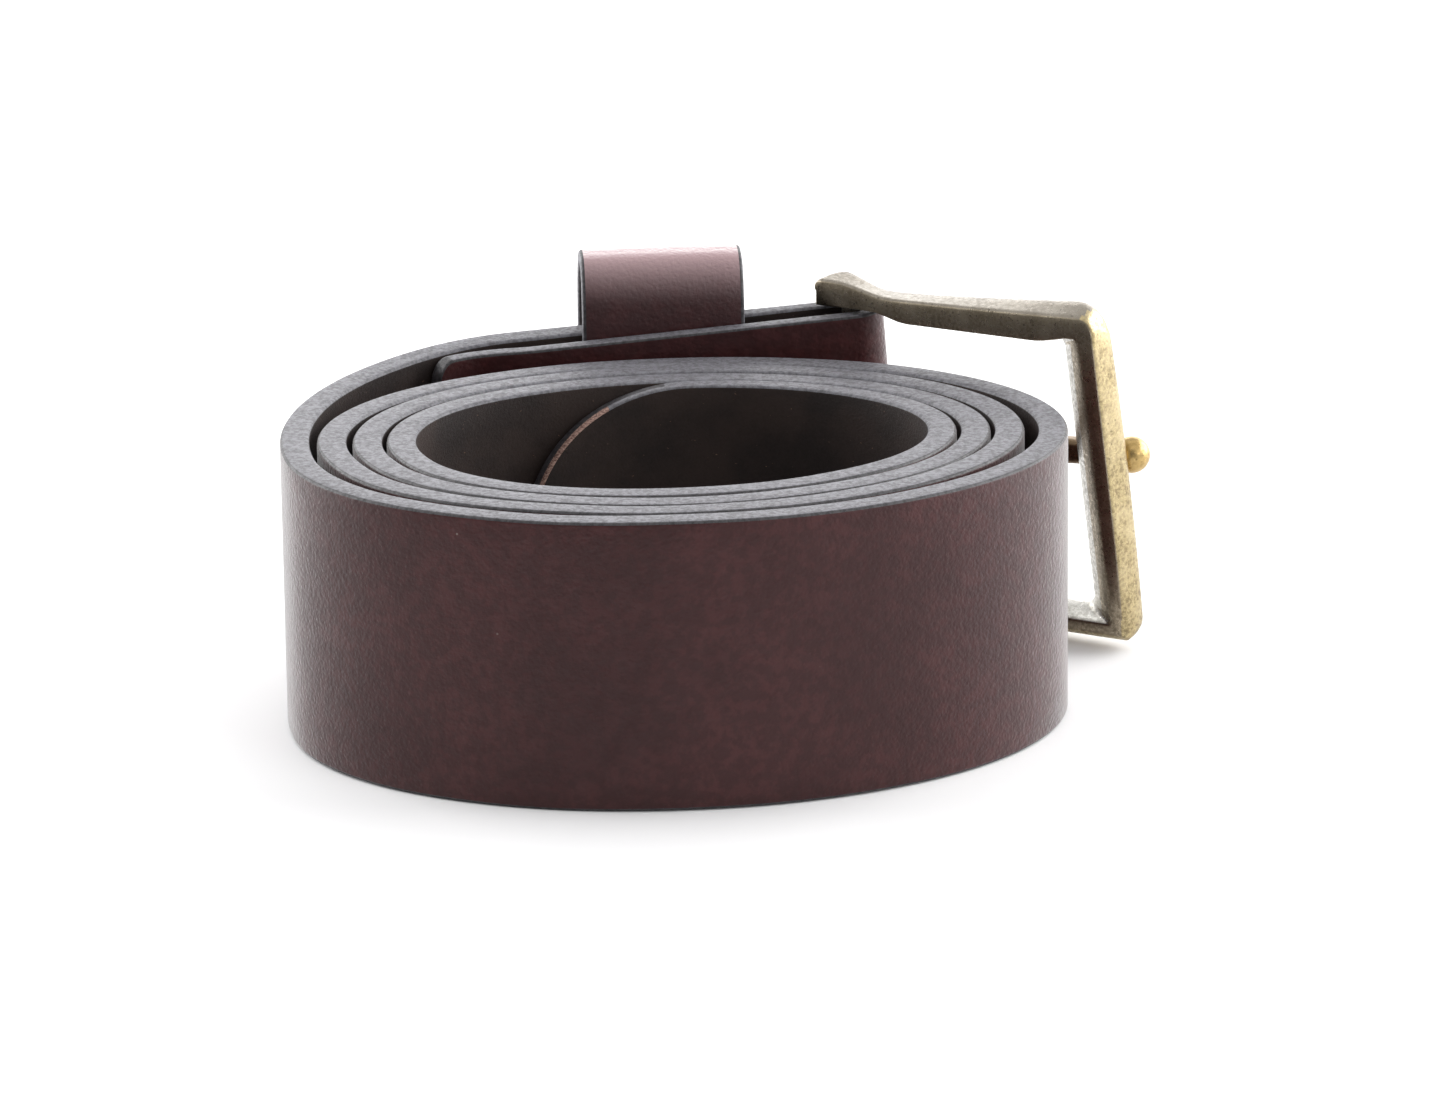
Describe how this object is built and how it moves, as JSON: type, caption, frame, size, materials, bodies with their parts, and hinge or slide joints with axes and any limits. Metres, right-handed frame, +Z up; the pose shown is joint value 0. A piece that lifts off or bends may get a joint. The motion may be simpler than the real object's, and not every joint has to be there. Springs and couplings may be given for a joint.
{
  "type": "leather belt with buckle",
  "caption": "Dark brown leather belt coiled on its edge, its end folded round the bar of a brass buckle with a swinging prong and held by screws, with a leather keeper.",
  "frame": {"origin": "middle of the bottom of the bounding box, on the surface the belt stands on", "axes": "+Z up across the width of the strap, +X along the longer side of the coil towards the buckle, +Y towards the straight end that carries the buckle"},
  "size_m": [0.1144, 0.0984, 0.0508],
  "materials": {
    "leather": "dark brown vegetable-tanned leather, satin, with paler cut edges",
    "brass": "solid brass, lightly aged",
    "prong_brass": "polished brass"
  },
  "bodies": {
    "strap": {"strap": "leather", "screw_post_fold_side": "brass", "screw_fold_side": "brass", "screw_post_tip_side": "brass", "screw_tip_side": "brass"},
    "buckle": {"buckle_frame": "brass", "heel_bar": "brass"},
    "prong": {"prong": "prong_brass"},
    "keeper": {"keeper_loop": "leather"}
  },
  "joints": [
    {"name": "buckle_swing", "type": "hinge", "parent": "strap", "child": "buckle", "pos_m": [0.01974, 0.03774, 0.02349], "axis": [-0.0864, -0.0847, 0.9927], "range_deg": [-12, 45]},
    {"name": "prong_swing", "type": "hinge", "parent": "buckle", "child": "prong", "pos_m": [0.01974, 0.03774, 0.02349], "axis": [-0.0864, -0.0847, 0.9927], "range_deg": [0, 80]},
    {"name": "keeper_slide", "type": "slide", "parent": "strap", "child": "keeper", "axis": [0.9944, 0.0695, 0.0802], "range_m": [-0.002, 0.002]}
  ]
}
